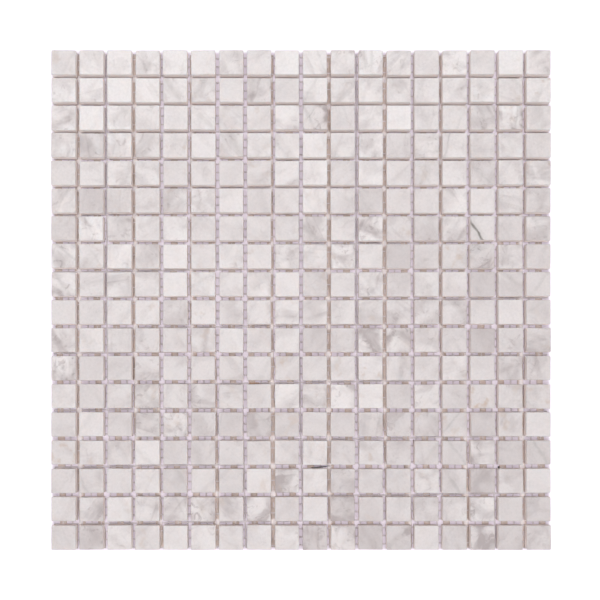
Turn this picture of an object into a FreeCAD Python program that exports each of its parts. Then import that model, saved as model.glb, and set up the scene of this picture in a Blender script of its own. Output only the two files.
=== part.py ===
import FreeCAD, Part
import os
import Sketcher
from FreeCAD import Vector

# Mosaic tile sheet: square marble tiles in rows, laid face up on an open fibreglass net.
# Millimetres. +Z is up, and the origin is the centre of the net's underside.
# Row 01 lies along the -Y edge, and the rows are numbered towards +Y.

# Driving sizes: alias, value, what it is
DRIVING_SIZES = [
    ("tile_side", "15", "side of one square tile"),
    ("tile_thickness", "9.5", "thickness of the marble"),
    ("tile_count", "18", "tiles along each side of the sheet"),
    ("joint_width", "2", "open joint between two tiles"),
    ("face_bevel", "0.4", "eased edge round a tile's face"),
    ("yarn_thickness", "0.25", "thickness of one yarn, pressed flat"),
    ("yarn_bevel", "0.08", "rounding of a yarn's long edges, cut as a flat"),
    ("warp_width", "1", "width of a yarn that runs along Y"),
    ("warp_pitch", "5.9", "middle to middle, two warp yarns"),
    ("weft_width", "1", "width of a yarn that runs along X"),
    ("weft_pitch", "5", "middle to middle, two weft yarns"),
]

# Sizes that follow from them: alias, formula, what it is
DERIVED_SIZES = [
    ("tile_pitch", "=tile_side + joint_width", "from one tile to the next"),
    ("sheet_side", "=tile_count * tile_side + (tile_count - 1) * joint_width", "side of the whole sheet"),
    ("half_side", "=sheet_side / 2", "from the middle to an edge of the sheet"),
    ("net_thickness", "=2 * yarn_thickness", "warp layer and weft layer"),
    ("warp_count", "=floor((sheet_side - warp_width) / warp_pitch) + 1", "warp yarns that fit the sheet"),
    ("warp_reach", "=((warp_count - 1) * warp_pitch + warp_width) / 2", "from the middle to the outer warp's edge"),
    ("weft_count", "=floor((sheet_side - weft_width) / weft_pitch) + 1", "weft yarns that fit the sheet"),
    ("weft_reach", "=((weft_count - 1) * weft_pitch + weft_width) / 2", "from the middle to the outer weft's edge"),
]

doc = FreeCAD.newDocument("MosaicTileSheet")
sizes = doc.addObject("Spreadsheet::Sheet", "Sizes")
for row, (alias, content, meaning) in enumerate(DRIVING_SIZES + DERIVED_SIZES, start=1):
    sizes.set(f"A{row}", meaning)
    sizes.set(f"B{row}", content)
    sizes.setAlias(f"B{row}", alias)
doc.recompute()


def origin_feature(body, role):
    """The body's own origin plane or axis that has this role."""
    return next(feature for feature in body.Origin.OriginFeatures if feature.Role == role)


def new_body(label):
    """An empty body that may hold separate solids."""
    body = doc.addObject("PartDesign::Body", label)
    body.Label = label
    body.AllowCompound = True
    return body


def bind(sketch, name, constraint, expression):
    """Adds a constraint, names it and ties its value to an expression."""
    index = sketch.addConstraint(constraint)
    sketch.renameConstraint(index, name)
    sketch.setExpression(f"Constraints.{name}", expression)


def level_rectangle(body, name, height, left, front, width, length):
    """A level sketch of one rectangle, with every size an expression.

    left and front are how far its corner lies from the middle, towards -X and -Y.
    """
    sketch = body.newObject("Sketcher::SketchObject", name)
    sketch.AttachmentSupport = [(origin_feature(body, "XY_Plane"), "")]
    sketch.MapMode = "FlatFace"
    sketch.setExpression("AttachmentOffset.Base.z", height)
    x = -float(sketch.evalExpression(left))
    y = -float(sketch.evalExpression(front))
    across = float(sketch.evalExpression(width))
    along = float(sketch.evalExpression(length))
    corners = [Vector(x, y), Vector(x + across, y), Vector(x + across, y + along), Vector(x, y + along)]
    for start, end in zip(corners, corners[1:] + corners[:1]):
        sketch.addGeometry(Part.LineSegment(start, end), False)
    front_edge, right_edge, back_edge, left_edge = range(4)
    for edge in range(4):
        sketch.addConstraint(Sketcher.Constraint("Coincident", edge, 2, (edge + 1) % 4, 1))
    for edge in (front_edge, back_edge):
        sketch.addConstraint(Sketcher.Constraint("Horizontal", edge))
    for edge in (right_edge, left_edge):
        sketch.addConstraint(Sketcher.Constraint("Vertical", edge))
    bind(sketch, "width", Sketcher.Constraint("DistanceX", front_edge, 1, front_edge, 2, across), width)
    bind(sketch, "length", Sketcher.Constraint("DistanceY", right_edge, 1, right_edge, 2, along), length)
    bind(sketch, "left", Sketcher.Constraint("DistanceX", front_edge, 1, -1, 1, -x), left)
    bind(sketch, "front", Sketcher.Constraint("DistanceY", front_edge, 1, -1, 1, -y), front)
    return sketch


def pad_up(body, name, sketch, thickness):
    """Pads a sketch upwards by an expression."""
    pad = body.newObject("PartDesign::Pad", name)
    pad.Profile = sketch
    pad.setExpression("Length", thickness)
    doc.recompute()
    return pad


def bevel_edges(body, name, blank, elements, size):
    """Bevels the named faces' or edges' corners by an expression."""
    bevel = body.newObject("PartDesign::Chamfer", name)
    bevel.Base = (blank, elements)
    bevel.setExpression("Size", size)
    doc.recompute()


def repeat_along(body, name, axis, pitch, count):
    """Repeats the whole body along one of its own axes."""
    pattern = body.newObject("PartDesign::LinearPattern", name)
    pattern.TransformMode = "Whole shape"
    pattern.Direction = (origin_feature(body, axis), [""])
    pattern.Mode = "Spacing"
    pattern.setExpression("Offset", pitch)
    pattern.setExpression("Occurrences", count)
    body.Tip = pattern
    doc.recompute()


def top_face(blank):
    """The name of a blank's highest face."""
    heights = [face.CenterOfMass.z for face in blank.Shape.Faces]
    return f"Face{heights.index(max(heights)) + 1}"


def long_edges(blank):
    """The names of a yarn's four long edges."""
    lengths = [edge.Length for edge in blank.Shape.Edges]
    return [f"Edge{index + 1}" for index, length in enumerate(lengths) if length > max(lengths) / 2]


def first_tile_row(label):
    """The row along the -Y edge: one tile with its eased face, repeated along X."""
    body = new_body(label)
    outline = level_rectangle(
        body, "TileOutline", "Sizes.net_thickness",
        "Sizes.half_side", "Sizes.half_side", "Sizes.tile_side", "Sizes.tile_side",
    )
    tile = pad_up(body, "SawnTile", outline, "Sizes.tile_thickness")
    bevel_edges(body, "EasedFace", tile, [top_face(tile)], "Sizes.face_bevel")
    repeat_along(body, "TilesInRow", "X_Axis", "Sizes.tile_pitch", "Sizes.tile_count")
    return body


def next_tile_row(first_row, label, number):
    """The same row again, a whole number of tile pitches further along +Y."""
    body = new_body(label)
    body.BaseFeature = first_row
    body.setExpression("Placement.Base.y", f"{number} * Sizes.tile_pitch")
    return body


def warp_yarns(label):
    """The net's lower layer: yarns along Y, from edge to edge of the sheet."""
    body = new_body(label)
    outline = level_rectangle(
        body, "WarpOutline", "0 mm",
        "Sizes.warp_reach", "Sizes.half_side", "Sizes.warp_width", "Sizes.sheet_side",
    )
    yarn = pad_up(body, "FlatWarp", outline, "Sizes.yarn_thickness")
    bevel_edges(body, "RoundedWarp", yarn, long_edges(yarn), "Sizes.yarn_bevel")
    repeat_along(body, "Warps", "X_Axis", "Sizes.warp_pitch", "Sizes.warp_count")
    return body


def weft_yarns(label):
    """The net's upper layer: yarns along X, which lie on the warp and carry the tiles."""
    body = new_body(label)
    outline = level_rectangle(
        body, "WeftOutline", "Sizes.yarn_thickness",
        "Sizes.half_side", "Sizes.weft_reach", "Sizes.sheet_side", "Sizes.weft_width",
    )
    yarn = pad_up(body, "FlatWeft", outline, "Sizes.yarn_thickness")
    bevel_edges(body, "RoundedWeft", yarn, long_edges(yarn), "Sizes.yarn_bevel")
    repeat_along(body, "Wefts", "Y_Axis", "Sizes.weft_pitch", "Sizes.weft_count")
    return body


tile_count = int(sizes.tile_count)

# The tiles, a sub-part for each row: like pieces that don't touch
tile_rows = [first_tile_row("tile_row_01")]
for number in range(1, tile_count):
    tile_rows.append(next_tile_row(tile_rows[0], f"tile_row_{number + 1:02d}", number))

# The backing net, a sub-part for each layer of yarns
warps = warp_yarns("net_warp_yarns")
wefts = weft_yarns("net_weft_yarns")

doc.recompute()

# Each sub-part with the number of solids that it must have
solid_counts = {row: tile_count for row in tile_rows}
solid_counts[warps] = int(sizes.warp_count)
solid_counts[wefts] = int(sizes.weft_count)

for item in doc.Objects:
    if "Invalid" in item.State or "Error" in item.State:
        raise RuntimeError(f"{item.Label} failed: {item.State}")
for part, solid_count in solid_counts.items():
    if part.Shape.isNull() or not part.Shape.isValid():
        raise RuntimeError(f"{part.Label} has no valid shape")
    if len(part.Shape.Solids) != solid_count:
        raise RuntimeError(f"{part.Label} has {len(part.Shape.Solids)} solids, not {solid_count}")

os.makedirs("parts", exist_ok=True)
for part in solid_counts:
    part.Shape.exportStep(f"parts/{part.Label}.step")
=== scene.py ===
import math
import random

import bpy
from mathutils import Euler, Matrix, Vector, noise


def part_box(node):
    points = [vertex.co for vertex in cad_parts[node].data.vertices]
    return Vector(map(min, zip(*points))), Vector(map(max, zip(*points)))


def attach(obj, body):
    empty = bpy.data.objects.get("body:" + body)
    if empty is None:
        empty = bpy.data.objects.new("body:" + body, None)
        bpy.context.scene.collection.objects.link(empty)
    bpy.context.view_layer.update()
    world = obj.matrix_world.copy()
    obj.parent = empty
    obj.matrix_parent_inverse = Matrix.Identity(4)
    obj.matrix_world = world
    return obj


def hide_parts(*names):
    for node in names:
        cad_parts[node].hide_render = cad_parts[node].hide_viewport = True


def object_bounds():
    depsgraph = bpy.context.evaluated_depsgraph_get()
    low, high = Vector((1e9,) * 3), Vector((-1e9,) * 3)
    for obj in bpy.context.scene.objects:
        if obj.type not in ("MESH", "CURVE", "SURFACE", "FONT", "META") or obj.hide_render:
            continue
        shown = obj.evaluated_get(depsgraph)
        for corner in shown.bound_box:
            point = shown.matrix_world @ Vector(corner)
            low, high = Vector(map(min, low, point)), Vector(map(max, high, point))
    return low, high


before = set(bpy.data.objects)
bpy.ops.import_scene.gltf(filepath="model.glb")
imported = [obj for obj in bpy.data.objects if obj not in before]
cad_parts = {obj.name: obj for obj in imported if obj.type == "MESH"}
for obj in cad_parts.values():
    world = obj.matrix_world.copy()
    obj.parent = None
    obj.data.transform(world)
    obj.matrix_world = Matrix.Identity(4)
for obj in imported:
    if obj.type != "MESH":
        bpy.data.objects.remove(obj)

cadBox = [list(corner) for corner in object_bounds()]
lowCorner, highCorner = Vector(cadBox[0]), Vector(cadBox[1])
mm = 0.001
scene = bpy.context.scene
scene.view_settings.view_transform = "Standard"
print("sheet in mm:", [round(size / mm, 2) for size in highCorner - lowCorner])

# The grid of tiles, read from the rows in the frame. Row 01 lies along the -Y edge.
rowNames = sorted(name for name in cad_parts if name.startswith("tile_row_"))
firstRow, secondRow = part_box(rowNames[0]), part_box(rowNames[1])
grid = {
    "count": len(rowNames),
    "side": firstRow[1].y - firstRow[0].y,
    "pitch": secondRow[0].y - firstRow[0].y,
    "back": firstRow[0].z,          # sawn underside of the tiles, which lies on the net
    "face": firstRow[1].z,
}


def tileCentre(column, row):
    # Both count from 0 at the -X, -Y corner
    reach = grid["side"] / 2
    x = lowCorner.x + reach + column * grid["pitch"]
    y = lowCorner.y + reach + row * grid["pitch"]
    return Vector((x, y, 0))


# Node and mesh helpers
def addNode(tree, kind, sockets=None, **settings):
    node = tree.nodes.new(kind)
    for name, value in settings.items():
        setattr(node, name, value)
    for key, value in (sockets or {}).items():
        if isinstance(value, bpy.types.NodeSocket):
            tree.links.new(value, node.inputs[key])
        else:
            node.inputs[key].default_value = value
    return node


def maths(tree, operation, first, second=0.0, clamp=False):
    sockets = {0: first, 1: second}
    return addNode(tree, "ShaderNodeMath", sockets, operation=operation, use_clamp=clamp).outputs[0]


def ramp(tree, value, start, end, low=0.0, high=1.0):
    sockets = {"Value": value, "From Min": start, "From Max": end, "To Min": low, "To Max": high}
    return addNode(tree, "ShaderNodeMapRange", sockets, interpolation_type="SMOOTHSTEP").outputs["Result"]


def noiseAt(tree, place, scale, detail=3.0, roughness=0.5, distortion=0.0):
    sockets = {"Vector": place, "Scale": scale, "Detail": detail, "Roughness": roughness,
               "Distortion": distortion}
    return addNode(tree, "ShaderNodeTexNoise", sockets).outputs["Fac"]


def blendColours(tree, factor, first, second):
    node = addNode(tree, "ShaderNodeMix", {0: factor, 6: first, 7: second}, data_type="RGBA")
    return node.outputs[2]


def stretched(tree, place, scale):
    return addNode(tree, "ShaderNodeMapping", {"Vector": place, "Scale": scale}).outputs["Vector"]


def newGroup(name, inputs, outputs):
    group = bpy.data.node_groups.new(name, "ShaderNodeTree")
    for label, kind in inputs:
        group.interface.new_socket(label, in_out="INPUT", socket_type=kind)
    for label, kind in outputs:
        group.interface.new_socket(label, in_out="OUTPUT", socket_type=kind)
    return group, group.nodes.new("NodeGroupInput").outputs, group.nodes.new("NodeGroupOutput").inputs


def newMaterial(name, **sockets):
    material = bpy.data.materials.new(name)
    material.use_nodes = True
    shader = material.node_tree.nodes["Principled BSDF"]
    for key, value in sockets.items():
        shader.inputs[key.replace("_", " ")].default_value = value
    return material, material.node_tree, shader


def feed(tree, shader, colour, roughness, relief, depth):
    bump = addNode(tree, "ShaderNodeBump", {"Height": relief, "Distance": depth, "Strength": 1.0})
    tree.links.new(colour, shader.inputs["Base Color"])
    tree.links.new(roughness, shader.inputs["Roughness"])
    tree.links.new(bump.outputs["Normal"], shader.inputs["Normal"])


def newPiece(name, points, faces, materials, attributes=None, sharpFaces=None, faceMaterials=None):
    mesh = bpy.data.meshes.new(name)
    mesh.from_pydata(points, [], faces)
    smooth = [True] * len(faces) if sharpFaces is None else [not sharp for sharp in sharpFaces]
    mesh.polygons.foreach_set("use_smooth", smooth)
    for material in materials:
        mesh.materials.append(material)
    if faceMaterials:
        mesh.polygons.foreach_set("material_index", faceMaterials)
    for label, values in (attributes or {}).items():
        layer = mesh.attributes.new(label, "FLOAT_VECTOR", "POINT")
        layer.data.foreach_set("vector", [number for value in values for number in value])
    mesh.update()
    piece = bpy.data.objects.new(name, mesh)
    scene.collection.objects.link(piece)
    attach(piece, "root")
    return piece


def tubeFaces(start, around, rings):
    # The bands between rings of points that follow each other, with both ends closed
    faces = [tuple(start + index for index in reversed(range(around)))]
    for ring in range(rings - 1):
        for index in range(around):
            a = start + ring * around + index
            b = start + ring * around + (index + 1) % around
            faces.append((a, b, b + around, a + around))
    faces.append(tuple(start + (rings - 1) * around + index for index in range(around)))
    return faces


def noiseStart(dice, level=0):
    # Where on the noise a yarn or a bead starts, so that no two are alike
    return Vector((dice.uniform(-9, 9), dice.uniform(-9, 9), level))


# Camera: straight down, from below the middle of the sheet, with the lens shifted up to keep it square
cameraSettings = {
    "height": 800 * mm,             # above the tile faces
    "span": 364.8 * mm,             # width of the picture at the tile faces
    "middleX": -0.6 * mm,           # what the middle of the picture shows
    "standX": -9 * mm,              # what the lens stands over
    "standY": -62 * mm,
    "sensor": 36.0,
    "nearestSeen": 10 * mm,
}


def makeCamera(values):
    data = bpy.data.cameras.new("sheetCamera")
    data.sensor_width = values["sensor"]
    data.lens = values["sensor"] * values["height"] / values["span"]
    data.shift_x = (values["middleX"] - values["standX"]) / values["span"]
    data.shift_y = -values["standY"] / values["span"]
    data.clip_start = values["nearestSeen"]
    camera = bpy.data.objects.new("sheetCamera", data)
    camera.location = (values["standX"], values["standY"], highCorner.z + values["height"])
    scene.collection.objects.link(camera)
    scene.camera = camera


makeCamera(cameraSettings)
print("camera ready")

# Studio: an even pale sky, a soft lamp overhead that reaches down into the joints, a weaker one beyond
# the top left corner, and a sheet of white paper with painted shade and a faint painted glow under the sheet
studioSettings = {
    "skyLight": 0.12,
    "overheadLamp": {"side": 1000 * mm, "place": (20 * mm, -250 * mm, 2000 * mm), "power": 32.1},
    "cornerLamp": {"side": 700 * mm, "place": (-150 * mm, 620 * mm, 800 * mm), "power": 1.1},
    "paperSide": 6.0,
    "paperColour": (0.93, 0.905, 0.945),
    "paperGlow": (0.30, 0.27, 0.33),    # seen by the camera alone, so it lights nothing
    "paperGlowFar": (1.0, 1.0, 1.0),
    "farFrom": (260 * mm, 900 * mm),    # where the glow starts and stops to rise towards the far one
    "paintedShadeUnderSheet": (0.83, 0.775, 0.835),   # painted shade: the paper is coloured darker under the sheet, where its shade falls
    # painted light: the paper under the sheet glows faintly, which brightens the floor of the joints
    "paintedGlowUnderSheet": (0.074, 0.055, 0.082),
    "shadeStart": 0.1 * mm,             # how far beyond the sheet its painted shade and glow on the paper begin to fade
    "shadeEnd": 1.9 * mm,
}


def seenDirectly(tree):
    rays = addNode(tree, "ShaderNodeLightPath").outputs
    shiny = maths(tree, "MAXIMUM", rays["Is Glossy Ray"], rays["Is Transmission Ray"])
    return maths(tree, "MAXIMUM", rays["Is Camera Ray"], shiny)


def addLamp(name, values):
    data = bpy.data.lights.new(name, "AREA")
    data.size = values["side"]
    data.energy = values["power"]
    lamp = bpy.data.objects.new(name, data)
    lamp.location = values["place"]
    lamp.rotation_euler = (-Vector(values["place"])).to_track_quat("-Z", "Y").to_euler()
    scene.collection.objects.link(lamp)


def makeStudio(values):
    world = bpy.data.worlds.new("studioSky")
    scene.world = world
    world.use_nodes = True
    tree = world.node_tree
    extra = maths(tree, "MULTIPLY", seenDirectly(tree), 1.0 - values["skyLight"])
    strength = maths(tree, "ADD", extra, values["skyLight"])
    background = tree.nodes["Background"]
    background.inputs["Color"].default_value = (1, 1, 1, 1)
    tree.links.new(strength, background.inputs["Strength"])

    addLamp("overheadLamp", values["overheadLamp"])
    addLamp("cornerLamp", values["cornerLamp"])

    paper = bpy.data.materials.new("whitePaper")
    paper.use_nodes = True
    tree = paper.node_tree
    tree.nodes.clear()
    place = addNode(tree, "ShaderNodeTexCoord").outputs["Object"]
    sides = addNode(tree, "ShaderNodeSeparateXYZ", {0: place}).outputs
    farSide = maths(tree, "MAXIMUM", maths(tree, "ABSOLUTE", sides["X"]), maths(tree, "ABSOLUTE", sides["Y"]))
    # painted shade and painted light: under the sheet and just past its edge the paper takes a darker colour
    # and a faint glow
    beyond = ramp(tree, farSide, highCorner.x + values["shadeStart"], highCorner.x + values["shadeEnd"])
    paperColour = blendColours(tree, beyond, (*values["paintedShadeUnderSheet"], 1), (*values["paperColour"], 1))
    nearGlow = blendColours(tree, beyond, (*values["paintedGlowUnderSheet"], 1), (*values["paperGlow"], 1))
    farAway = ramp(tree, farSide, *values["farFrom"])
    glowColour = blendColours(tree, farAway, nearGlow, (*values["paperGlowFar"], 1))
    diffuse = addNode(tree, "ShaderNodeBsdfDiffuse", {"Color": paperColour})
    glow = addNode(tree, "ShaderNodeEmission", {"Color": glowColour, "Strength": seenDirectly(tree)})
    both = addNode(tree, "ShaderNodeAddShader", {0: diffuse.outputs[0], 1: glow.outputs[0]})
    addNode(tree, "ShaderNodeOutputMaterial", {"Surface": both.outputs[0]})

    reach = values["paperSide"] / 2
    mesh = bpy.data.meshes.new("paperFloor")
    corners = [(-reach, -reach, 0), (reach, -reach, 0), (reach, reach, 0), (-reach, reach, 0)]
    mesh.from_pydata(corners, [], [(0, 1, 2, 3)])
    mesh.materials.append(paper)
    floor = bpy.data.objects.new("paperFloor", mesh)
    scene.collection.objects.link(floor)


makeStudio(studioSettings)
print("studio ready")

# Marble: white ground with soft grey clouds, slanting streaks and thin veins.
# stonePlace is where in the block a tile was sawn, stoneTone holds its greyness (with the painted shade down
# and across the sheet), figure and warmth, and stoneVein holds how far a point is from the tile's own vein,
# how dark that vein is and how wide.
# A range says where on its noise an effect starts and ends, and its shares there.
marbleSettings = {
    "white": (0.893, 0.844, 0.841, 1),
    "grey": (0.450, 0.387, 0.389, 1),
    "vein": (0.235, 0.21, 0.195, 1),
    "rust": (0.58, 0.46, 0.39, 1),
    "cloudScale": 72.0,
    "cloudRange": (0.38, 0.72, -0.16, 0.44),
    "slant": (0.16, 1, 1),          # draws the streaks and threads out along the bed of the stone
    "streakScale": 170.0,
    "streakRange": (0.50, 0.80, 0, 0.55),
    "smudgeScale": 210.0,
    "smudgeRange": (0.54, 0.76, 0, 0.5),
    "threadScale": 40.0,
    "threadWidth": 0.04,
    "threadShare": 0.16,
    "threadPatchScale": 64.0,
    "threadPatchRange": (0.46, 0.62),
    "veinSway": 4.0 * mm,
    "veinSwayScale": 130.0,
    "veinCore": (0.1, 1, 1, 0),     # in vein widths from its middle line
    "veinHalo": (0, 4, 0.2, 0),     # the same for the grey stone beside it
    "veinFadeScale": 110.0,
    "veinFadeRange": (0.3, 0.6, 0.35, 1),
    "rustScale": 144.0,
    "rustRange": (0.55, 0.75, 0, 0.7),
    "mottleScale": 620.0,
    "mottleRange": (0.2, 0.8),
    "mottleShare": 0.045,
    "roughness": (0.46, 0.60),
}


def makeMarbleGroup(values):
    group, given, result = newGroup(
        "marbleFigure",
        [("Place", "NodeSocketVector"),
         ("Grey", "NodeSocketFloat"), ("Figure", "NodeSocketFloat"), ("Warmth", "NodeSocketFloat"),
         ("Vein distance", "NodeSocketFloat"), ("Vein strength", "NodeSocketFloat"),
         ("Vein width", "NodeSocketFloat")],
        [("Colour", "NodeSocketColor"), ("Roughness", "NodeSocketFloat"), ("Relief", "NodeSocketFloat")],
    )
    place, figure = given["Place"], given["Figure"]
    slanted = stretched(group, place, values["slant"])
    cloud = ramp(group, noiseAt(group, place, values["cloudScale"], 3, 0.5, 0.6), *values["cloudRange"])
    streak = ramp(group, noiseAt(group, slanted, values["streakScale"], 2, 0.5, 0.4), *values["streakRange"])
    smudge = ramp(group, noiseAt(group, place, values["smudgeScale"], 3, 0.6, 0.8), *values["smudgeRange"])
    softFigure = maths(group, "ADD", maths(group, "ADD", cloud, streak), smudge)
    figureGrey = maths(group, "MULTIPLY", softFigure, figure)
    greyness = maths(group, "ADD", given["Grey"], figureGrey, clamp=True)
    stone = blendColours(group, greyness, values["white"], values["grey"])

    # A thread is where a broad noise crosses its middle value, and it fades in and out along its length
    broad = noiseAt(group, slanted, values["threadScale"], 3, 0.5, 0.6)
    crossing = maths(group, "ABSOLUTE", maths(group, "SUBTRACT", broad, 0.5))
    thread = ramp(group, crossing, 0, values["threadWidth"], 1, 0)
    patches = ramp(group, noiseAt(group, place, values["threadPatchScale"], 2), *values["threadPatchRange"])
    threads = maths(group, "MULTIPLY", maths(group, "MULTIPLY", thread, patches), figure)

    # The tile's own vein sways, and grey stone lies softly along it
    sway = maths(group, "SUBTRACT", noiseAt(group, place, values["veinSwayScale"], 3, 0.5), 0.5)
    swayed = maths(group, "ADD", given["Vein distance"], maths(group, "MULTIPLY", sway, values["veinSway"]))
    fromVein = maths(group, "DIVIDE", maths(group, "ABSOLUTE", swayed), given["Vein width"])
    core = ramp(group, fromVein, *values["veinCore"])
    halo = ramp(group, fromVein, *values["veinHalo"])
    line = maths(group, "ADD", core, halo)
    fading = ramp(group, noiseAt(group, place, values["veinFadeScale"], 2, 0.5), *values["veinFadeRange"])
    vein = maths(group, "MULTIPLY", maths(group, "MULTIPLY", line, fading), given["Vein strength"])
    faintThreads = maths(group, "MULTIPLY", threads, values["threadShare"])
    stone = blendColours(group, maths(group, "ADD", vein, faintThreads, clamp=True), stone, values["vein"])

    rustSpots = ramp(group, noiseAt(group, place, values["rustScale"], 2), *values["rustRange"])
    stone = blendColours(group, maths(group, "MULTIPLY", rustSpots, given["Warmth"]), stone, values["rust"])

    mottle = noiseAt(group, place, values["mottleScale"], 2, 0.6)
    share = values["mottleShare"]
    level = ramp(group, mottle, *values["mottleRange"], 1 - share, 1 + share)
    shade = addNode(group, "ShaderNodeVectorMath", {0: stone, 1: level}, operation="MULTIPLY")
    group.links.new(shade.outputs[0], result["Colour"])
    group.links.new(ramp(group, mottle, *values["mottleRange"], *values["roughness"]), result["Roughness"])
    group.links.new(mottle, result["Relief"])
    return group


marbleGroup = makeMarbleGroup(marbleSettings)


def placeMarble(tree):
    place = addNode(tree, "ShaderNodeAttribute", attribute_name="stonePlace").outputs["Vector"]
    tone = addNode(tree, "ShaderNodeAttribute", attribute_name="stoneTone").outputs["Vector"]
    tones = addNode(tree, "ShaderNodeSeparateXYZ", {0: tone}).outputs
    vein = addNode(tree, "ShaderNodeAttribute", attribute_name="stoneVein").outputs["Vector"]
    veins = addNode(tree, "ShaderNodeSeparateXYZ", {0: vein}).outputs
    node = addNode(tree, "ShaderNodeGroup", node_tree=marbleGroup)
    for name, source in (("Place", place), ("Grey", tones[0]), ("Figure", tones[1]), ("Warmth", tones[2]),
                         ("Vein distance", veins[0]), ("Vein strength", veins[1]), ("Vein width", veins[2])):
        tree.links.new(source, node.inputs[name])
    return node.outputs


# The honed face, and the sawn sides with their blade lines, pale dust with painted light, and the glue that
# crept up from the net with painted shade towards their bottom
faceSettings = {"reliefDepth": 0.006 * mm}
sawnSettings = {
    "lineScale": 2600.0,
    "lineStretch": (0.05, 0.05, 1),     # lays the blade's lines level
    "lineRange": (0.3, 0.7),
    "reliefDepth": 0.05 * mm,
    "roughness": (0.34, 0.5),
    # painted light: the dust is coloured near white, paler than the stone, standing in for the light that
    # reaches the sides in the joints
    "dustAndPaintedLight": (0.985, 0.906, 0.896, 1),
    "dustAndLightShare": (0.75, 0.98),
    # painted shade: the glue makes the sides warmer and darker towards their bottom, where the joints are
    # deepest
    "glueAndShade": (0.90, 0.79, 0.745, 1),
    "glueAndShadeShare": 0.75,
    "glueAndShadeFade": (2.4 * mm, 5.2 * mm),   # height at which the glue and its painted shade start and stop to thin out
    "glueAndShadeWander": 5 * mm,
    "glueAndShadeWanderScale": 320.0,
}
stoneScatter = {"Subsurface_Weight": 0.5, "Subsurface_Radius": (1.0, 0.82, 0.70), "Subsurface_Scale": 2 * mm}
wallScatter = {"Subsurface_Weight": 0.8, "Subsurface_Radius": (1.0, 0.87, 0.78), "Subsurface_Scale": 4 * mm}
dustSheen = {"Sheen_Weight": 1.0, "Sheen_Roughness": 0.5, "Sheen_Tint": (1.0, 0.89, 0.85, 1)}


def makeFaceMaterial(values):
    material, tree, shader = newMaterial("honedMarble", **stoneScatter)
    marble = placeMarble(tree)
    feed(tree, shader, marble["Colour"], marble["Roughness"], marble["Relief"], values["reliefDepth"])
    return material


def makeSawnMaterial(values):
    material, tree, shader = newMaterial("sawnMarble", **wallScatter, **dustSheen)
    marble = placeMarble(tree)
    place = addNode(tree, "ShaderNodeTexCoord").outputs["Object"]
    lines = noiseAt(tree, stretched(tree, place, values["lineStretch"]), values["lineScale"], 2, 0.7)
    height = addNode(tree, "ShaderNodeSeparateXYZ", {0: place}).outputs["Z"]
    wander = maths(tree, "MULTIPLY", noiseAt(tree, place, values["glueAndShadeWanderScale"], 3), values["glueAndShadeWander"])
    # painted shade: warmer and darker towards the bottom of the sides
    lowness = ramp(tree, maths(tree, "ADD", height, wander), *values["glueAndShadeFade"], values["glueAndShadeShare"], 0)
    # painted light: the dust lightens the sides towards near white
    dustAndLightAmount = ramp(tree, lines, *values["lineRange"], *values["dustAndLightShare"])
    dustyAndLit = blendColours(tree, dustAndLightAmount, marble["Colour"], values["dustAndPaintedLight"])
    gluedAndShaded = blendColours(tree, lowness, dustyAndLit, values["glueAndShade"])
    roughness = ramp(tree, lines, *values["lineRange"], *values["roughness"])
    feed(tree, shader, gluedAndShaded, roughness, lines, values["reliefDepth"])
    return material


faceMaterial = makeFaceMaterial(faceSettings)
sawnMaterial = makeSawnMaterial(sawnSettings)
print("marble ready")

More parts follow.
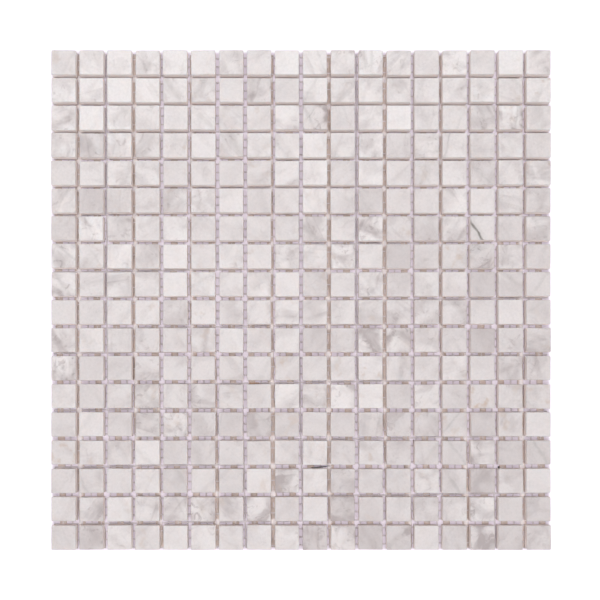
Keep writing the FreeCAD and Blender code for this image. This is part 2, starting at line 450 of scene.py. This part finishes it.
# Tiles: each one sawn, eased round its face and laid by hand.
# Places in the lists are row and column from the top left tile, as one looks at the sheet.
tileSettings = {
    "seed": 18,
    "stepsPerSide": 20,
    "cornerRadius": 0.2 * mm,
    "cornerSteps": 3,
    "backBevel": 0.2 * mm,
    "easing": 0.20 * mm,            # width of the eased edge
    "easingDrop": 0.26 * mm,
    "easingRound": 0.3,             # share of the width and the drop where the eased edge turns
    "edgeShade": 0.12 * mm,         # how far in from the eased edge its soft shading ends
    "broadWear": (260, 0.35),       # scale of the wear along the edge, and its share of the easing
    "fineWear": (1500, 0.2),
    "chipScale": 700,
    "chipsFrom": 0.42,              # on the chips' noise, so that chips are few
    "chipDepth": 3.0 * mm,
    "sideShort": 0.32 * mm,         # the saw leaves a tile this much under its nominal size
    "sideSpread": 0.05 * mm,        # and this much more or less
    "slip": 0.10 * mm,              # how far a hand lays a tile out of line
    "slipLimit": 0.30 * mm,
    "turn": math.radians(0.35),
    "turnLimit": math.radians(1.0),
    "tip": math.radians(0.12),
    "lowerBy": (0.024 * mm, 0.12 * mm),     # below the nominal height of the faces
    "sawTurn": 0.5,                 # how far the stone's bed may lie off level, in radians
    "blockReach": 2.0,              # half side of the stone block that the tiles come from
    "usualGrey": (0.31, 0.07),      # middle and spread
    "leastGrey": 0.05,
    "usualFigure": (-0.85, 0.5),    # middle and spread, as powers of e
    "mostFigure": 1.3,
    "usualWarmth": (-0.1, 0.5),
    "greyTileGrey": (0.48, 0.58),
    "whiteTileGrey": (0.10, 0.17),
    "whiteTileFigure": 0.15,
    "cloudyFigure": (1.1, 1.6),
    "greyTiles": [(6, 2), (4, 2), (8, 13), (9, 16), (3, 10), (16, 16), (8, 16), (18, 2), (11, 10), (17, 11),
                  (14, 8), (18, 10), (18, 12), (11, 16)],
    "whiteTiles": [(14, 2), (1, 17), (18, 14), (18, 5), (17, 3), (3, 13), (15, 4), (16, 18), (9, 5), (8, 5),
                   (14, 18), (16, 8), (9, 9), (17, 10), (13, 12), (10, 17), (2, 3), (3, 2)],
    "cloudyTiles": [(3, 10), (11, 12), (7, 12), (11, 13), (8, 11), (3, 17), (18, 11), (8, 16), (16, 9)],
    "paintedShadeDown": (0.165, 0.072),   # painted shade: the stones are coloured greyer down the sheet, and most of that by its middle, standing in for less light there
    "paintedShadeRight": 0.04,            # and a little greyer to the right, also painted shade
    "rowDrift": 1.2 * mm,           # the middle rows lie this much towards +Y
    "veinedShare": 0.4,             # share of the tiles with a faint vein of their own
    "faintVein": {"slope": (30, 70), "reach": 6 * mm, "strength": (0.04, 0.14), "width": (1.2 * mm, 3 * mm)},
    "veins": {                      # slope in degrees, distance from the tile's middle, strength and width
        (7, 16): (-57, -4.1 * mm, 0.88, 1.25 * mm),
        (3, 10): (-62, -3.5 * mm, 0.2, 1.6 * mm),
        (14, 15): (50, 2.5 * mm, 0.22, 1.2 * mm),
        (11, 13): (22, 4.0 * mm, 0.18, 1.4 * mm),
        (16, 9): (52, -0.5 * mm, 0.16, 2.0 * mm),
        (4, 15): (78, 4.2 * mm, 0.2, 1.0 * mm),
        (15, 15): (-50, 1.5 * mm, 0.2, 1.5 * mm),
        (16, 15): (-55, -1.0 * mm, 0.22, 1.6 * mm),
        (15, 18): (-60, 1.0 * mm, 0.2, 1.5 * mm),
    },
}


def clamped(value, limit):
    return max(-limit, min(limit, value))


def tileOutline(values):
    # Points round a square of half side 1 with slightly broken corners
    corner = values["cornerRadius"] / (grid["side"] / 2)
    steps, cornerSteps = values["stepsPerSide"], values["cornerSteps"]
    points = []
    for quarter in range(4):
        turn = quarter * math.pi / 2
        edge = [(1, -1 + corner + (2 - 2 * corner) * step / steps) for step in range(steps + 1)]
        for step in range(1, cornerSteps):
            angle = math.pi / 2 * step / cornerSteps
            edge.append((1 - corner + corner * math.cos(angle), 1 - corner + corner * math.sin(angle)))
        for x, y in edge:
            points.append((x * math.cos(turn) - y * math.sin(turn), x * math.sin(turn) + y * math.cos(turn)))
    return points


def tileTone(values, seen, dice):
    # seen is the tile's row and column from the top left tile
    grey = max(values["leastGrey"], dice.gauss(*values["usualGrey"]))
    figure = min(values["mostFigure"], dice.lognormvariate(*values["usualFigure"]))
    warmth = max(0.0, dice.gauss(*values["usualWarmth"]))
    if seen in values["greyTiles"]:
        grey = dice.uniform(*values["greyTileGrey"])
    if seen in values["whiteTiles"]:
        grey, figure = dice.uniform(*values["whiteTileGrey"]), values["whiteTileFigure"]
    if seen in values["cloudyTiles"]:
        figure = dice.uniform(*values["cloudyFigure"])
    down = 2 * (seen[0] - 1) / (grid["count"] - 1) - 1      # -1 in the top row, 1 in the bottom one
    right = 2 * (seen[1] - 1) / (grid["count"] - 1) - 1
    # painted shade: the grey grows down the sheet and to the right, where the sheet is less lit
    grey += values["paintedShadeDown"][0] * down + values["paintedShadeDown"][1] * (0.5 - down ** 2)
    grey += values["paintedShadeRight"] * right
    return grey, figure, warmth


def tileVein(values, seen, dice):
    faint = values["faintVein"]
    slope = math.radians(dice.choice((-1, 1)) * dice.uniform(*faint["slope"]))
    distance = dice.uniform(-faint["reach"], faint["reach"])
    vein = (slope, distance, dice.uniform(*faint["strength"]), dice.uniform(*faint["width"]))
    if dice.random() > values["veinedShare"]:
        vein = (slope, 0, 0, mm)    # none
    if seen in values["veins"]:
        degrees, distance, strength, width = values["veins"][seen]
        vein = (math.radians(degrees), distance, strength, width)
    return vein


def edgeWear(values, outline, half, grain):
    # How wide the eased edge is at each point round the tile, with its chips
    waves = (values["broadWear"], values["fineWear"])
    wear = []
    for x, y in outline:
        spot = Vector((x, y, 0)) * half + grain
        uneven = [noise.noise(spot * scale) * share for scale, share in waves]
        chip = max(0.0, noise.noise(spot * values["chipScale"] + Vector((7, 3, 1))) - values["chipsFrom"])
        wear.append(values["easing"] * (1 + sum(uneven)) + chip * values["chipDepth"])
    return wear


def addTile(values, outline, column, row, dice, build):
    half = (grid["side"] - values["sideShort"]) / 2
    half += clamped(dice.gauss(0, values["sideSpread"]), 2 * values["sideSpread"])
    tip = [clamped(dice.gauss(0, values["tip"]), 2 * values["tip"]) for axis in range(2)]
    lifted = 2 * half * (abs(tip[0]) + abs(tip[1]))     # what the tip lifts one corner by
    face = grid["face"] - grid["back"] - lifted - dice.uniform(*values["lowerBy"])
    drop, turned = values["easingDrop"], values["easingRound"]
    block, bed = values["blockReach"], values["sawTurn"]
    grain = Vector([dice.uniform(-block, block) for axis in range(3)])      # this tile's place in the block
    turns = [dice.uniform(-bed, bed), dice.uniform(-bed, bed), dice.uniform(0, 2 * math.pi)]
    sawTurn = Euler(turns).to_matrix()
    seen = (grid["count"] - row, column + 1)
    tone = tileTone(values, seen, dice)
    slope, veinOffset, veinStrength, veinWidth = tileVein(values, seen, dice)

    rings = []
    bevel = values["backBevel"]
    for inset, height in ((bevel, 0), (0, bevel), (0, face / 2), (0, face - drop)):
        rings.append([(x * (half - inset), y * (half - inset), height) for x, y in outline])
    wear = edgeWear(values, outline, half, grain)
    for share, height in ((turned, face - drop * turned), (1.0, face)):
        rings.append([(x * (half - worn * share), y * (half - worn * share), height)
                      for (x, y), worn in zip(outline, wear)])
    inside = [worn + values["edgeShade"] for worn in wear]
    rings.append([(x * (half - inset), y * (half - inset), face) for (x, y), inset in zip(outline, inside)])

    turn = clamped(dice.gauss(0, values["turn"]), values["turnLimit"])
    lay = Euler((tip[0], tip[1], turn)).to_matrix()
    slip = Vector([clamped(dice.gauss(0, values["slip"]), values["slipLimit"]) for axis in range(2)] + [0])
    laid = [lay @ Vector(point) for ring in rings for point in ring]
    middle = tileCentre(column, row) + slip
    fromMiddle = 2 * row / (grid["count"] - 1) - 1
    middle.y += values["rowDrift"] * (1 - fromMiddle ** 2)
    for axis in range(2):       # no tile stands out of the sheet's edge, and none sinks into the net
        reach = max(abs(point[axis]) for point in laid)
        middle[axis] = min(highCorner[axis] - reach, max(lowCorner[axis] + reach, middle[axis]))
    middle.z = grid["back"] - min(point.z for point in laid)

    start = len(build["points"])
    build["points"] += [point + middle for point in laid]
    build["stonePlace"] += [sawTurn @ Vector(point) + grain for ring in rings for point in ring]
    build["stoneTone"] += [tone] * len(laid)
    build["stoneVein"] += [(y * math.cos(slope) - x * math.sin(slope) - veinOffset, veinStrength, veinWidth)
                           for ring in rings for x, y, z in ring]
    bands = [ring for ring in range(len(rings) - 1) for point in outline]    # which one each side face is in
    build["faces"] += tubeFaces(start, len(outline), len(rings))
    build["sawn"] += [True] + [band < 3 for band in bands] + [False]
    build["flat"] += [True] + [band == 0 for band in bands] + [True]


def layTiles(values):
    outline = tileOutline(values)
    dice = random.Random(values["seed"])
    for row, rowName in enumerate(rowNames):
        parts = ("points", "faces", "sawn", "flat", "stonePlace", "stoneTone", "stoneVein")
        build = {part: [] for part in parts}
        for column in range(grid["count"]):
            addTile(values, outline, column, row, dice, build)
        piece = newPiece(
            f"tileRow{row + 1:02d}", build["points"], build["faces"], [faceMaterial, sawnMaterial],
            attributes={part: build[part] for part in parts if part.startswith("stone")},
            sharpFaces=build["flat"], faceMaterials=[int(sawn) for sawn in build["sawn"]],
        )
        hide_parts(rowName)


layTiles(tileSettings)
print("tiles laid")

# Backing net: coated fibreglass yarns, woven one over one. The warps run along Y and the wefts along X.
netSettings = {
    "seed": 5,
    "warpWidth": 0.95 * mm,
    "warpPitch": 5.9 * mm,
    "warpShift": 1.65 * mm,         # the net lies a little to +X of the middle
    "weftWidth": 1.0 * mm,
    "weftPitch": 5.0 * mm,
    "narrowest": 0.88,              # share of its width that a thin yarn has
    "stepsPerCrossing": 4,
    "shortest": 3,                  # crossings that a yarn has to pass where the sheet's edge cuts it off
    "trim": (0.05 * mm, 0.5 * mm),  # how far short of the sheet's edge a yarn is cut
    "wander": 0.14 * mm,
    "wanderScale": 25,
    "fineWander": 0.056 * mm,
    "fineWanderScale": 180,
    "warpLean": 3.0 * mm,           # the warps lean towards +X at the -Y edge
    "warpLeanBend": 1.4,
    "weftLean": 2.2 * mm,           # the wefts climb towards +X
    "yarnColour": (0.85, 0.795, 0.82, 1),
    # painted shade: the grooves between the twisted strands are coloured darker
    "paintedGrooveShade": (0.62, 0.55, 0.57, 1),
    "twistLength": 2.4 * mm,
    "strands": 3.0,
    "fuzzScale": 2400.0,
    "strandRange": (-0.6, 1.4),
    "fuzzRange": (0.3, 0.7),
    "roughness": (0.45, 0.7),
    "reliefDepth": 0.08 * mm,
}
yarnSection = [(1, 0), (0.55, 1), (-0.55, 1), (-1, 0), (-0.55, -1), (0.55, -1)]    # flattened, in half sizes
netLow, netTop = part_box("net_warp_yarns")[0].z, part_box("net_weft_yarns")[1].z
netMiddle = (netLow + netTop) / 2
yarnHalfThick = (netTop - netLow) / 4


def makeYarnMaterial(values):
    material, tree, shader = newMaterial("coatedYarn")
    along = addNode(tree, "ShaderNodeAttribute", attribute_name="yarnPlace").outputs["Vector"]
    parts = addNode(tree, "ShaderNodeSeparateXYZ", {0: along}).outputs
    turns = maths(tree, "ADD", maths(tree, "DIVIDE", parts["X"], values["twistLength"]), parts["Y"])
    wave = maths(tree, "SINE", maths(tree, "MULTIPLY", turns, 2 * math.pi * values["strands"]))
    place = addNode(tree, "ShaderNodeTexCoord").outputs["Object"]
    fuzz = noiseAt(tree, place, values["fuzzScale"], 3, 0.6)
    strand = ramp(tree, maths(tree, "ADD", wave, fuzz), *values["strandRange"])
    # painted shade: darker in the grooves, where the relief is low
    colour = blendColours(tree, strand, values["paintedGrooveShade"], values["yarnColour"])
    roughness = ramp(tree, fuzz, *values["fuzzRange"], *values["roughness"])
    feed(tree, shader, colour, roughness, strand, values["reliefDepth"])
    return material


def leanOfWarp(values, y):
    # Straight in the upper half of the sheet, and leaning more and more below it
    below = max(0.0, -y) / highCorner.y
    return values["warpLean"] * below ** values["warpLeanBend"]


def addYarn(path, halfWidth, acrossAxis, build):
    start = len(build["points"])
    across = len(yarnSection)
    for point, length in path:
        for index, (side, rise) in enumerate(yarnSection):
            corner = Vector(point)
            corner[acrossAxis] += side * halfWidth
            corner.z += rise * yarnHalfThick
            build["points"].append(corner)
            build["yarnPlace"].append((length, index / across, 0))
    faces = tubeFaces(start, across, len(path))
    build["faces"] += faces if acrossAxis == 1 else [face[::-1] for face in faces]


def crossingsPassed(values, axis, run, beside):
    # Yarns of the other layer passed so far along this one: a whole number where it meets one of them.
    # run is the place along the yarn, and beside is the one across it.
    if axis == 1:
        return (run - values["weftLean"] * beside / highCorner.x) / values["weftPitch"]
    return (run - values["warpShift"] - leanOfWarp(values, beside)) / values["warpPitch"] - 0.5


def yarnPath(values, axis, place, order, crossingPitch, dice):
    # axis is the one the yarn runs along, and place is where it lies on the other one
    across = 1 - axis
    trims = [dice.uniform(*values["trim"]) for end in range(2)]
    first, last = lowCorner[axis] + trims[0], highCorner[axis] - trims[1]
    count = int((last - first) / crossingPitch * values["stepsPerCrossing"])
    shift = noiseStart(dice, axis * 5)
    lift = 1 if axis == 0 else -1       # the wefts lie over the first warp where the warps lie under
    path = []
    for step in range(count + 1):
        run = first + (last - first) * step / count
        sway = noise.noise(shift + Vector((run * values["wanderScale"], 0, 0))) * values["wander"]
        sway += noise.noise(shift + Vector((run * values["fineWanderScale"], 4, 0))) * values["fineWander"]
        lean = leanOfWarp(values, run) if axis == 1 else values["weftLean"] * run / highCorner.x
        beside = place + sway + lean
        phase = math.pi * (crossingsPassed(values, axis, run, beside) + order)
        point = [0, 0, netMiddle + lift * math.cos(phase) * yarnHalfThick]
        point[axis] = run
        point[across] = beside
        path.append((point, run))
    return path


def insideSheet(path, across, halfWidth):
    # A yarn that leans out over the sheet's edge is cut off there
    limit = highCorner[across] - halfWidth
    return [entry for entry in path if abs(entry[0][across]) <= limit]


def weaveLayer(values, name, nodeName, axis, width, pitch, crossingPitch, shift, material, dice):
    build = {"points": [], "faces": [], "yarnPlace": []}
    across = 1 - axis
    halfWidth = width / 2
    spread = int(highCorner[across] / pitch) + 2
    for order in range(-spread, spread + 1):
        place = (order + 0.5 if axis == 1 else order) * pitch + shift
        own = halfWidth * dice.uniform(values["narrowest"], 1.0)
        path = insideSheet(yarnPath(values, axis, place, order, crossingPitch, dice), across, halfWidth)
        if len(path) > values["stepsPerCrossing"] * values["shortest"]:
            addYarn(path, own, across, build)
    piece = newPiece(name, build["points"], build["faces"], [material],
                     attributes={"yarnPlace": build["yarnPlace"]})
    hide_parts(nodeName)
    print(name, len(build["faces"]), "faces")


def weaveNet(values):
    dice = random.Random(values["seed"])
    material = makeYarnMaterial(values)
    weaveLayer(values, "netWarps", "net_warp_yarns", 1, values["warpWidth"], values["warpPitch"],
               values["weftPitch"], values["warpShift"], material, dice)
    weaveLayer(values, "netWefts", "net_weft_yarns", 0, values["weftWidth"], values["weftPitch"],
               values["warpPitch"], 0.0, material, dice)


weaveNet(netSettings)

# Glue: a bead laid over every second warp, pressed flat by the tiles
glueSettings = {
    "seed": 11,
    "width": 4.15 * mm,
    "narrowest": 0.6 * mm,          # a bead that the sheet's edge cuts narrower than this is left out
    "unevenness": 0.55 * mm,
    "unevenScale": 160,
    "wander": 0.25 * mm,
    "wanderScale": 30,
    "stepLength": 1.6 * mm,
    "shortest": 3,                  # steps that a bead has to have there
    "trim": (0.1 * mm, 0.7 * mm),   # how far short of the sheet's edge a bead ends
    "low": 0.05 * mm,
    "top": 0.44 * mm,
    "dimple": 0.03 * mm,
    "dimpleScale": 400,
    "colour": (0.67, 0.555, 0.505, 1),
    "darkColour": (0.46, 0.37, 0.33, 1),
    "darkScale": 140.0,
    "darkRange": (0.42, 0.72, 0, 0.8),
    "paintedLightAtCrossings": (0.83, 0.755, 0.755, 1),      # painted light: paler where the joints cross and more light reaches the glue
    "paintedLightReach": (0.9 * mm, 2.4 * mm),          # from a crossing's middle: where it starts and stops to fade
    "lumpScale": 1100.0,
    "lumpRange": (0.3, 0.7),
    "roughness": (0.32, 0.6),
    "reliefDepth": 0.12 * mm,
}
glueSection = [(-1, 0.35), (-0.86, 0.0), (-0.3, -0.12), (0.3, -0.12), (0.86, 0.0), (1, 0.35),
               (0.9, 0.85), (0.4, 1.0), (-0.4, 1.0), (-0.9, 0.85)]      # half widths, and share of the height


def openness(tree, place, reach):
    # 1 in the middle of a crossing of joints, 0 further along them
    sides = addNode(tree, "ShaderNodeSeparateXYZ", {0: place}).outputs
    down = maths(tree, "DIVIDE", sides["Y"], highCorner.y)
    drift = maths(tree, "MULTIPLY", maths(tree, "SUBTRACT", 1.0, maths(tree, "MULTIPLY", down, down)),
                  tileSettings["rowDrift"])
    firstJoint = lowCorner.x + (grid["side"] + grid["pitch"]) / 2
    away = []
    for line in (sides["X"], maths(tree, "SUBTRACT", sides["Y"], drift)):
        turns = maths(tree, "DIVIDE", maths(tree, "SUBTRACT", line, firstJoint), grid["pitch"])
        offJoint = maths(tree, "ABSOLUTE", maths(tree, "SUBTRACT", turns, maths(tree, "ROUND", turns)))
        away.append(maths(tree, "MULTIPLY", offJoint, grid["pitch"]))
    return ramp(tree, maths(tree, "MAXIMUM", *away), *reach, 1, 0)


def makeGlueMaterial(values):
    material, tree, shader = newMaterial("pressedGlue", Subsurface_Weight=0.15,
                                         Subsurface_Radius=(1.0, 0.7, 0.5), Subsurface_Scale=1 * mm)
    place = addNode(tree, "ShaderNodeTexCoord").outputs["Object"]
    patches = ramp(tree, noiseAt(tree, place, values["darkScale"], 4, 0.6), *values["darkRange"])
    lumps = noiseAt(tree, place, values["lumpScale"], 3, 0.6)
    patchyGlue = blendColours(tree, patches, values["colour"], values["darkColour"])
    # painted light: the glue turns paler towards each crossing of joints
    colour = blendColours(tree, openness(tree, place, values["paintedLightReach"]), patchyGlue, values["paintedLightAtCrossings"])
    roughness = ramp(tree, lumps, *values["lumpRange"], *values["roughness"])
    feed(tree, shader, colour, roughness, lumps, values["reliefDepth"])
    return material


def addBead(values, place, dice, build):
    height = values["top"] - values["low"]
    first, last = lowCorner.y + dice.uniform(*values["trim"]), highCorner.y - dice.uniform(*values["trim"])
    count = int((last - first) / values["stepLength"])
    shift = noiseStart(dice)
    start = len(build["points"])
    rows = 0
    for step in range(count + 1):
        y = first + (last - first) * step / count
        middle = place + leanOfWarp(netSettings, y)
        middle += noise.noise(shift + Vector((0, y * values["wanderScale"], 3))) * values["wander"]
        swell = [noise.noise(shift + Vector((side, y * values["unevenScale"], 0))) for side in (0, 8)]
        left = middle - values["width"] / 2 - swell[0] * values["unevenness"]
        right = middle + values["width"] / 2 + swell[1] * values["unevenness"]
        left, right = max(left, lowCorner.x), min(right, highCorner.x)
        if right - left < values["narrowest"]:
            continue
        for side, rise in glueSection:
            x = (left + right) / 2 + side * (right - left) / 2
            z = values["low"] + rise * height
            if rise > 0.5:      # the upper side
                spot = Vector((x * values["dimpleScale"], y * values["dimpleScale"], 7))
                z += noise.noise(spot) * values["dimple"]
            build["points"].append((x, y, max(0, z)))
        rows += 1
    if rows < values["shortest"]:
        del build["points"][start:]
        return
    # The section runs the other way round than along a yarn, so the faces are turned over
    build["faces"] += [face[:1] + face[:0:-1] for face in tubeFaces(start, len(glueSection), rows)]


def layGlue(values):
    dice = random.Random(values["seed"])
    build = {"points": [], "faces": []}
    pitch = 2 * netSettings["warpPitch"]
    beads = int(highCorner.x / pitch) + 2
    for order in range(-beads, beads + 1):
        addBead(values, order * pitch + netSettings["warpPitch"] / 2 + netSettings["warpShift"], dice, build)
    newPiece("glueLines", build["points"], build["faces"], [makeGlueMaterial(values)])
    print("glueLines", len(build["faces"]), "faces")


layGlue(glueSettings)
print("net ready")

# What got into the joints when the sheet was made: a dark splinter, a black grain and two drops of old glue
strayBits = [
    {
        "name": "darkSplinter", "colour": (0.045, 0.038, 0.042, 1),
        "thick": 0.5 * mm, "wide": (1.15 * mm, 0.35 * mm),      # where it starts and where it ends
        "path": [(5.7, -102.1, 8.2), (9.5, -101.95, 8.4), (13.0, -101.5, 8.6), (16.2, -101.0, 8.8),
                 (19.4, -100.8, 8.9)],                          # in mm
    },
    {
        "name": "blackGrain", "colour": (0.02, 0.018, 0.02, 1),
        "thick": 1.2 * mm, "wide": (1.4 * mm, 1.2 * mm),
        "path": [(120.5, -102.4, 7.4), (120.6, -102.0, 7.5), (120.6, -101.5, 7.5), (120.5, -101.1, 7.4)],
    },
    {
        "name": "orangeGlue", "colour": (0.62, 0.40, 0.27, 1),
        "thick": 0.35 * mm, "wide": (1.0 * mm, 0.6 * mm),
        "path": [(-32.0, -50.5, 0.75), (-30.0, -50.5, 0.8), (-27.5, -50.4, 0.8), (-25.0, -50.4, 0.75)],
    },
    {
        "name": "brownGlue", "colour": (0.30, 0.22, 0.18, 1),
        "thick": 0.35 * mm, "wide": (0.9 * mm, 0.7 * mm),
        "path": [(69.3, -85.0, 0.75), (69.4, -86.6, 0.8), (69.4, -88.4, 0.8), (69.5, -90.0, 0.75)],
    },
]
strayFinish = {
    "steps": 12,                # along a bit
    "around": 10,
    "bluntness": 0.04,          # share of its width that it keeps at its very ends
    "unevenness": 0.25,
    "unevenScale": 900,
    "lumpScale": 1500.0,
    "lumpRange": (0.3, 0.7),
    "shade": (0.75, 1.15),
    "roughness": (0.35, 0.6),
    "reliefDepth": 0.1 * mm,
}


def makeStrayMaterial(name, colour, finish):
    material, tree, shader = newMaterial(name)
    place = addNode(tree, "ShaderNodeTexCoord").outputs["Object"]
    lumps = noiseAt(tree, place, finish["lumpScale"], 3, 0.6)
    shade = ramp(tree, lumps, *finish["lumpRange"], *finish["shade"])
    shaded = addNode(tree, "ShaderNodeVectorMath", {0: colour[:3], 1: shade}, operation="MULTIPLY").outputs[0]
    roughness = ramp(tree, lumps, *finish["lumpRange"], *finish["roughness"])
    feed(tree, shader, shaded, roughness, lumps, finish["reliefDepth"])
    return material


def addStrayBit(values, finish):
    # A flattened strip along the path, blunt where it starts and narrower where it ends
    path = [Vector(point) * mm for point in values["path"]]
    steps, around = finish["steps"], finish["around"]
    firstWide, lastWide = values["wide"]
    points = []
    for step in range(steps + 1):
        share = step / steps
        spot = share * (len(path) - 1)
        index = min(int(spot), len(path) - 2)
        middle = path[index].lerp(path[index + 1], spot - index)
        ahead = path[index + 1] - path[index]
        sideways = Vector((-ahead.y, ahead.x, 0)).normalized()
        rounding = math.sqrt(max(0.0, 1 - (2 * share - 1) ** 4))
        rounding = rounding * (1 - finish["bluntness"]) + finish["bluntness"]
        halfWide = (firstWide + (lastWide - firstWide) * share) / 2 * rounding
        halfWide *= 1 + finish["unevenness"] * noise.noise(middle * finish["unevenScale"])
        halfThick = values["thick"] / 2 * rounding
        for corner in range(around):
            angle = 2 * math.pi * corner / around
            up = Vector((0, 0, halfThick * math.sin(angle)))
            points.append(middle + sideways * halfWide * math.cos(angle) + up)
    material = makeStrayMaterial(values["name"], values["colour"], finish)
    newPiece(values["name"], points, tubeFaces(0, around, steps + 1), [material])


for strayBit in strayBits:
    addStrayBit(strayBit, strayFinish)
print("stray bits placed")
